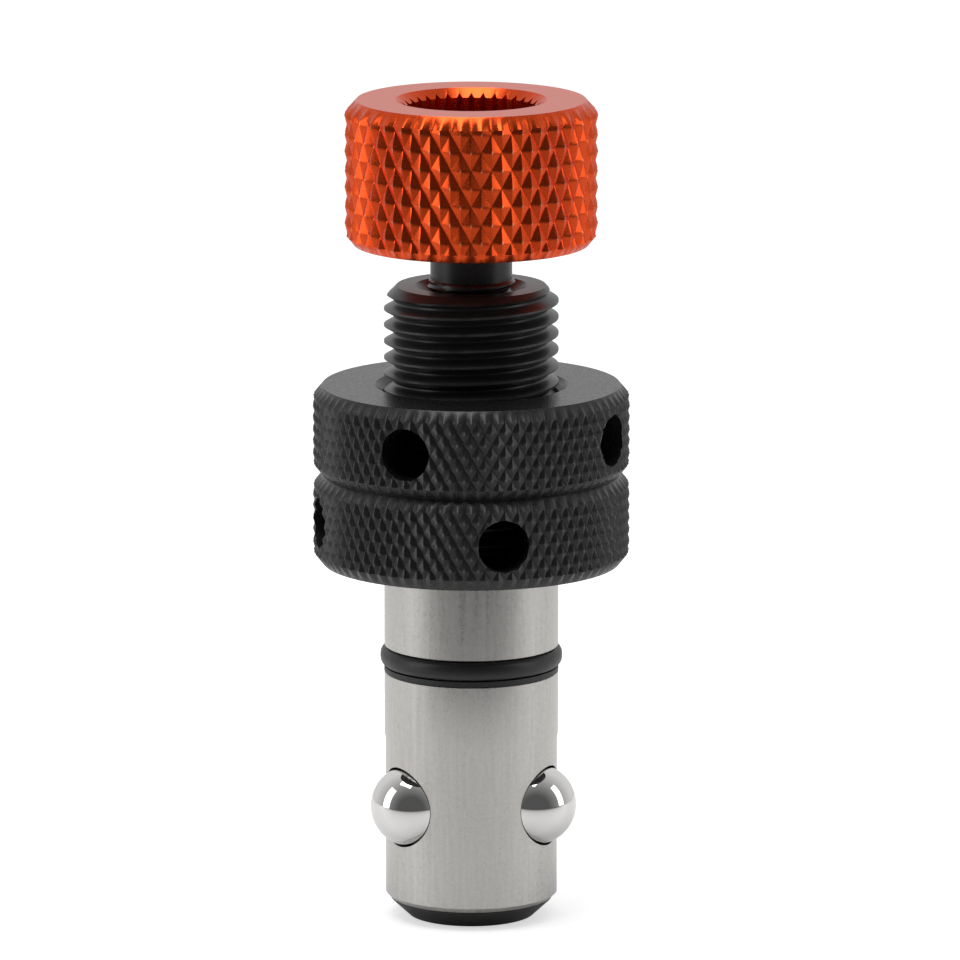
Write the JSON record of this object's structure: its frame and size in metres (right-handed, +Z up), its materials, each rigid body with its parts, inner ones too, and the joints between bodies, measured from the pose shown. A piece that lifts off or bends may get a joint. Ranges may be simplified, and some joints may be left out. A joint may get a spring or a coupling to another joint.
{
  "type": "ball lock pin",
  "caption": "Adjustable ball lock pin: knurled screw knob, threaded neck with two knurled ring nuts, ground shank with O-ring and locking balls.",
  "frame": {"origin": "centre of the end plug's standing face", "axes": "+Z up the pin's axis to the knob; -Y is the front, between two balls; azimuths run from -Y towards +X"},
  "size_m": [0.0288, 0.0288, 0.0756],
  "materials": {
    "ground_steel": "ground bright shank, black oxide on the threaded neck",
    "blackened_steel": "black oxide, satin",
    "blackened_nut": "black oxide over a diamond knurl, crests worn brighter",
    "hardened_steel": "hardened and turned",
    "orange_anodised": "orange anodised, satin",
    "polished_ball": "polished bearing ball",
    "rubber": "smooth black rubber",
    "black_plastic": "flat black ring"
  },
  "bodies": {
    "body": {"body": "ground_steel", "end_plug": "blackened_steel", "backing_ring": "black_plastic", "o_ring": "rubber"},
    "cone": {"thrust_cone": "hardened_steel", "snap_ring": "hardened_steel"},
    "spindle": {"spindle_screw": "blackened_steel", "knob": "orange_anodised"},
    "lower_nut": {"lower_ring_nut": "blackened_nut"},
    "upper_nut": {"upper_ring_nut": "blackened_nut"},
    "ball_1": {"ball_1": "polished_ball"},
    "ball_2": {"ball_2": "polished_ball"},
    "ball_3": {"ball_3": "polished_ball"}
  },
  "joints": [
    {"name": "cone_lift", "type": "slide", "parent": "body", "child": "cone", "axis": [0, 0, 1], "range_m": [-0.00076, 0.004]},
    {"name": "knob_turn", "type": "hinge", "parent": "cone", "child": "spindle", "pos_m": [0, 0, 0.0624], "axis": [0, 0, 1], "range_deg": [-220, 1153]},
    {"name": "ball_1_out", "type": "slide", "parent": "body", "child": "ball_1", "axis": [0.8942, -0.4478, 0], "range_m": [-0.00233, 0.00046]},
    {"name": "ball_2_out", "type": "slide", "parent": "body", "child": "ball_2", "axis": [-0.0593, 0.9982, 0], "range_m": [-0.00233, 0.00046]},
    {"name": "ball_3_out", "type": "slide", "parent": "body", "child": "ball_3", "axis": [-0.8348, -0.5505, 0], "range_m": [-0.00233, 0.00046]},
    {"name": "lower_nut_climb", "type": "slide", "parent": "body", "child": "lower_nut", "axis": [0, 0, 1], "range_m": [0, 0.006]},
    {"name": "upper_nut_climb", "type": "slide", "parent": "lower_nut", "child": "upper_nut", "axis": [0, 0, 1], "range_m": [0, 0.003]}
  ],
  "couplings": [
    {"joint": "knob_turn", "follows": "cone_lift", "rad_per_m": 5026.5},
    {"joint": "ball_1_out", "follows": "cone_lift", "ratio": -0.57735},
    {"joint": "ball_2_out", "follows": "cone_lift", "ratio": -0.57735},
    {"joint": "ball_3_out", "follows": "cone_lift", "ratio": -0.57735}
  ]
}
